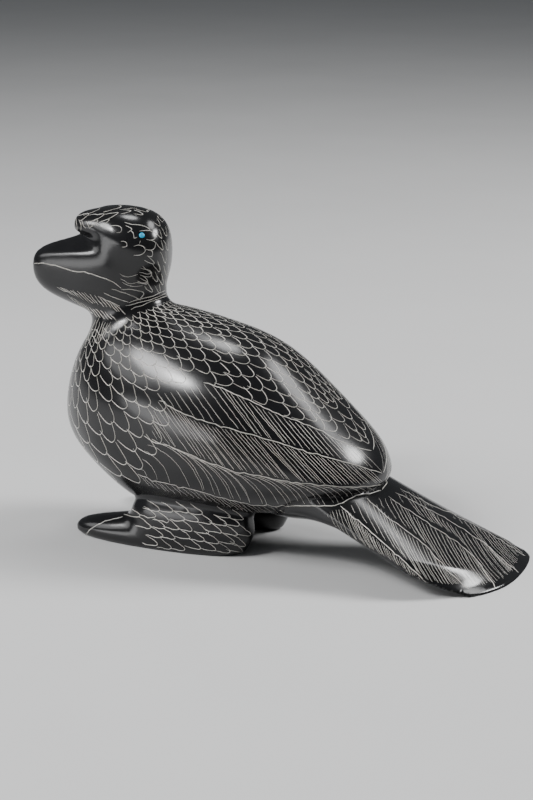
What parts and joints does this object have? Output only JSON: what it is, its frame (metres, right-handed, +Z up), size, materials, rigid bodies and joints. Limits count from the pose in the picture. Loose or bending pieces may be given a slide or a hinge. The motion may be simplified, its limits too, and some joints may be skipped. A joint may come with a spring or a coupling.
{
  "type": "carved stone crow figure",
  "caption": "Standing crow carved from one block of polished black marble, with a scratched feather pattern and inlaid turquoise eyes.",
  "frame": {"origin": "on the ground below the middle of the bird's box", "axes": "+Z up, the bird faces -X, its left side is towards -Y"},
  "size_m": [0.178, 0.067, 0.1156],
  "materials": {
    "black_marble": "polished, with pale scratched feather lines",
    "turquoise": "polished"
  },
  "bodies": {
    "root": {"crow_stone": "black_marble", "eye_left": "turquoise", "eye_right": "turquoise"}
  },
  "joints": []
}
